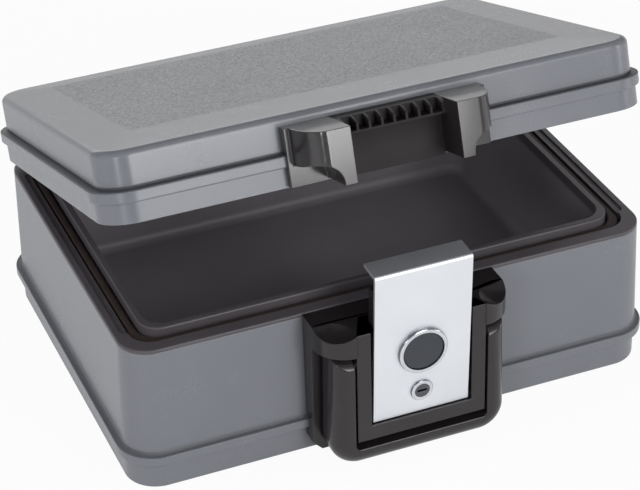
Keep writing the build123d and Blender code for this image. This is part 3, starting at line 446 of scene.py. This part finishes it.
bezel_rim_radius = 0.0162
button_above_lock = 0.0307
lock_turn = next(joint for joint in frame["joints"] if joint["name"] == "lock_turn")
lock_point = Vector(lock_turn["pos_m"])
lock_axis = Vector(lock_turn["axis"])
button_point = lock_point + button_above_lock * Vector((1, 0, 0)).cross(lock_axis)


def chrome_ring(name, point, rim_radius):
    """Bright plating on a ring round the point, with painted shade along its outer rim."""
    rim_shade_starts_inside = 0.0005
    rim_shade_full_inside = 0.0001
    chrome = Finish(name, Metallic=1.0)
    place = chrome.place()
    haze = chrome.noise(place, size=0.006, detail=3.0)
    radius = chrome.off_axis(place, point, lock_axis)
    # Painted shade: a grey outline along the ring's outer rim, where it meets the plate.
    painted_rim_shade = radius.band(rim_radius - rim_shade_starts_inside, rim_radius - rim_shade_full_inside)
    bright = chrome.blend(haze, paint(206, 208, 214), paint(232, 234, 238))
    chrome_with_painted_rim_shade = chrome.blend(painted_rim_shade * 0.85, bright, paint(78, 80, 86))
    return chrome.feed(Base_Color=chrome_with_painted_rim_shade, Roughness=0.06 + haze * 0.05)


dress(chrome_ring("bezel_chrome", button_point, bezel_rim_radius), "button_bezel")

# ---------------------------------------------------------------- key lock
# The cylinder's body is chromed like the button's ring, with the same painted shade along its rim. Its
# plug, nut and cam are turned and stamped in dull nickel-plated steel.

lock_rim_radius = 0.0074
dress(chrome_ring("lock_chrome", lock_point, lock_rim_radius), "lock_body")

lock_steel = crumbed_finish(
    "lock_steel",
    darkest=(84, 85, 91),
    palest=(112, 113, 118),
    smoothest=0.28,
    roughening=0.1,
    crumb_size=0.003,
    detail=3.0,
    depth=0.00002,
    Metallic=1.0,
)
dress(lock_steel, "lock_plug", "lock_nut", "lock_cam")

# ---------------------------------------------------------------- hinges, pins, springs and screws
# Everything that carries or fastens is plain bright-zinc steel, stamped, turned or wound.
# The zinc's crystals leave a faint spangle on it.

plain_steel = crumbed_finish(
    "plain_steel",
    darkest=(168, 170, 172),
    palest=(198, 199, 198),
    smoothest=0.28,
    roughening=0.15,
    crumb_size=0.002,
    detail=4.0,
    depth=0.00001,
    Metallic=1.0,
)
dress(plain_steel, "housing_screws", "bracket_screws", "latch_spring_screws", "cam_screw")
dress(plain_steel, "base_hinge_screws", "lid_hinge_screws")
for side in ("left", "right"):
    dress(plain_steel, "hinge_base_leaf_" + side, "hinge_lid_leaf_" + side, "hinge_pin_" + side)
    dress(plain_steel, "handle_pin_" + side)
dress(plain_steel, "latch_pivot_pin", "catch_clip", "flap_spring")
dress(plain_steel, "plate_push_nuts", "button_clip", "button_spring")

# ---------------------------------------------------------------- studio floor
# A wide disc of pale paper under the case. It shows white to the lens and pale in reflections, and
# still takes the case's shadow.


def studio_item(name, create_shape, **sizes):
    """Object made by one bmesh operator, for the studio and not for the case."""
    mesh = bpy.data.meshes.new(name)
    shape = bmesh.new()
    create_shape(shape, **sizes)
    shape.to_mesh(mesh)
    shape.free()
    item = bpy.data.objects.new(name, mesh)
    bpy.context.scene.collection.objects.link(item)
    return item


floor_radius = 4.5
white_share = 0.94
reflected_share = 0.6
floor = studio_item("floor", bmesh.ops.create_circle, cap_ends=True, segments=96, radius=floor_radius)
floor_finish = bpy.data.materials.new("studio_floor")
floor_finish.use_nodes = True
tree = floor_finish.node_tree
tree.nodes.clear()
camera_ray = node(tree, "LightPath", output=0)
glossy_ray = node(tree, "LightPath", output=3)
transmission_ray = node(tree, "LightPath", output=6)
seen = camera_ray + glossy_ray * reflected_share + transmission_ray
paper = node(tree, "BsdfDiffuse", sockets={"Color": paint(236, 236, 238)})
glow = node(tree, "Emission", sockets={"Color": (1, 1, 1, 1), "Strength": 1.0})
mixed = node(tree, "MixShader", sockets={0: seen * white_share, 1: paper, 2: glow})
surface = tree.nodes.new("ShaderNodeOutputMaterial")
tree.links.new(mixed.socket, surface.inputs["Surface"])
floor.data.materials.append(floor_finish)

# ---------------------------------------------------------------- sky and lamps
# An even, dim white sky that the lens sees as nearly white, and six soft rectangular lamps round
# the case that all look at its middle. The left one would glare off the lid, so gloss doesn't show it.

sky_light = 0.35
sky_seen = 0.63
world = bpy.data.worlds.new("studio")
bpy.context.scene.world = world
world.use_nodes = True
sky = world.node_tree.nodes["Background"]
sky.inputs["Color"].default_value = (1, 1, 1, 1)
sky_strength = sky_light + sky_seen * node(world.node_tree, "LightPath", output=0)
world.node_tree.links.new(sky_strength.socket, sky.inputs["Strength"])

case_middle = Vector((0, 0, 0.1))


def softbox(name, place, width, height, power):
    """Rectangular lamp that looks at the middle of the case."""
    lamp = bpy.data.lights.new(name, "AREA")
    lamp.shape = "RECTANGLE"
    lamp.size = width
    lamp.size_y = height
    lamp.energy = power
    stand = bpy.data.objects.new(name, lamp)
    stand.location = place
    stand.rotation_euler = (case_middle - Vector(place)).to_track_quat("-Z", "Y").to_euler()
    bpy.context.scene.collection.objects.link(stand)
    return stand


softbox("front_light", place=(0.38, -2.0, 0.62), width=0.8, height=0.6, power=14.0)
softbox("key_light", place=(0.5, -1.65, 1.2), width=1.0, height=0.5, power=9.0)
softbox("fill_light", place=(-1.3, -1.5, 0.6), width=0.3, height=0.6, power=6.0)
left_light = softbox("left_light", place=(-2.0, 0.0, 0.8), width=0.8, height=0.6, power=15.0)
softbox("right_light", place=(1.9, -1.0, 0.5), width=0.25, height=0.7, power=6.0)
softbox("back_light", place=(0.3, 2.4, 0.7), width=2.4, height=0.8, power=14.0)
left_light.visible_glossy = False

# ---------------------------------------------------------------- ceiling card
# A grey card hung over the case, which the lens doesn't see. It keeps the top faces and the folded
# top of the latch plate from mirroring the whole sky.

card_half = 1.2
card_height = 1.5
card = studio_item("ceiling_card", bmesh.ops.create_grid, x_segments=1, y_segments=1, size=card_half)
card.location = (0, 0, card_height)
card.visible_camera = False
card_grey = Finish("ceiling_card", Base_Color=paint(140, 140, 142))
card.data.materials.append(card_grey.material)

# ---------------------------------------------------------------- camera
# A long lens on a stand to the front left of the case. It looks down into the half-open tub and is
# tilted by about a degree.

camera_data = bpy.data.cameras.new("camera")
camera_data.lens = 128.055
camera_data.sensor_width = 36.0
camera = bpy.data.objects.new("camera", camera_data)
camera.location = (-0.47328, -1.19166, 0.87198)
camera.rotation_euler = (radians(57.629), radians(1.348), radians(-22.535))
bpy.context.scene.collection.objects.link(camera)
bpy.context.scene.camera = camera

bpy.context.scene.view_settings.view_transform = "Standard"
